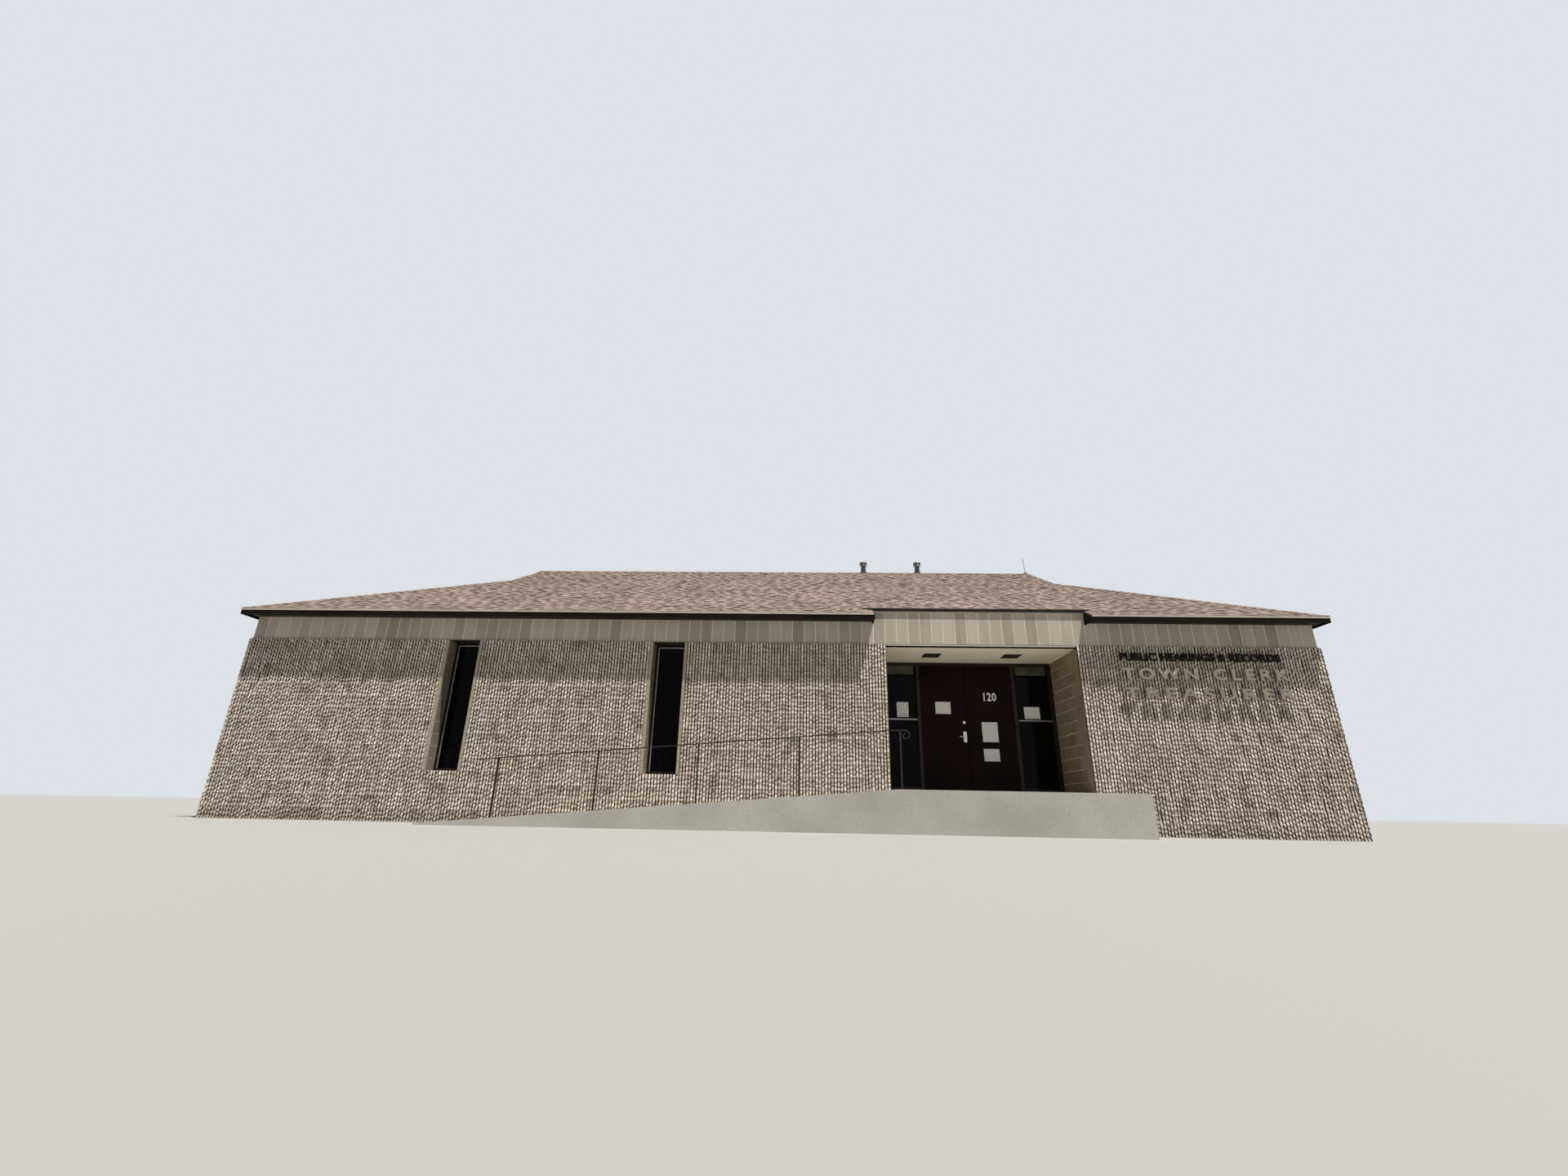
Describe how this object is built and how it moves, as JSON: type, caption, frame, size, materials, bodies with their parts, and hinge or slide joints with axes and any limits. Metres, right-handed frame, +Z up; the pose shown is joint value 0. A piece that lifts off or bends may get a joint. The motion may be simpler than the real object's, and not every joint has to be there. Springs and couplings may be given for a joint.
{
  "type": "town hall building",
  "caption": "One-storey town hall of ribbed concrete block with slot windows, a low gablet roof, a recessed entrance with hinged doors, and an access ramp with handrail.",
  "frame": {"origin": "middle of the base, on the ground, centred on the overall outline", "axes": "+X along the front to the right as seen from the front, +Y from the front towards the rear, +Z up"},
  "size_m": [18.8744, 10.3208, 6.4702],
  "materials": {
    "ribbed_block": "split-face ribbed concrete block",
    "plain_block": "plain concrete block with light mortar",
    "concrete": "broom-finished concrete",
    "ceiling_board": "matt ceiling board",
    "siding": "grooved siding, weathered paint",
    "shingle": "asphalt shingle with mineral granules",
    "dark_trim": "dark brown painted trim",
    "soffit_board": "dark stained board",
    "drip_metal": "mill finish",
    "bronze_frame": "dark bronze anodised",
    "dark_glass": "tinted glass",
    "cream_soffit": "painted plaster",
    "light_housing": "dark painted sheet",
    "brown_door": "dark brown painted door",
    "satin_metal": "satin",
    "vent_metal": "weathered brown metal",
    "black_steel": "black painted steel"
  },
  "bodies": {
    "building": {"access_ramp": "concrete", "ceiling": "ceiling_board", "entrance_drip_strip": "drip_metal", "entrance_head": "bronze_frame", "entrance_landing": "concrete", "entrance_posts": "bronze_frame", "entrance_roof_edge": "dark_trim", "entrance_soffit": "cream_soffit", "entrance_trim": "dark_trim", "entrance_walls": "plain_block", "floor_slab": "concrete", "flue_vents": "vent_metal", "front_fascias": "dark_trim", "front_siding": "siding", "front_soffits": "soffit_board", "front_wall_left": "ribbed_block", "front_wall_right": "ribbed_block", "gable_vents": "dark_trim", "left_wall": "ribbed_block", "ramp_handrail": "black_steel", "rear_fascia": "dark_trim", "rear_siding": "siding", "rear_soffit": "soffit_board", "rear_wall_left": "ribbed_block", "rear_wall_right": "ribbed_block", "right_wall": "ribbed_block", "roof_front": "shingle", "roof_left": "shingle", "roof_rear": "shingle", "roof_right": "shingle", "roof_rod": "satin_metal", "side_fascias": "dark_trim", "side_siding": "siding", "side_soffits": "soffit_board", "sidelight_glass": "dark_glass", "sidelight_rails": "bronze_frame", "soffit_lights": "light_housing", "threshold": "satin_metal", "window_frames": "bronze_frame", "window_glass": "dark_glass"},
    "left_leaf": {"door_left": "brown_door", "door_lock": "satin_metal"},
    "right_leaf": {"door_right": "brown_door"}
  },
  "joints": [
    {"name": "left_leaf_hinge", "type": "hinge", "parent": "building", "child": "left_leaf", "pos_m": [2.8001, -2.8382, 0.6276], "axis": [0, 0, -1], "range_deg": [0, 90]},
    {"name": "right_leaf_hinge", "type": "hinge", "parent": "building", "child": "right_leaf", "pos_m": [4.5151, -2.8382, 0.6276], "axis": [0, 0, 1], "range_deg": [0, 90]}
  ]
}
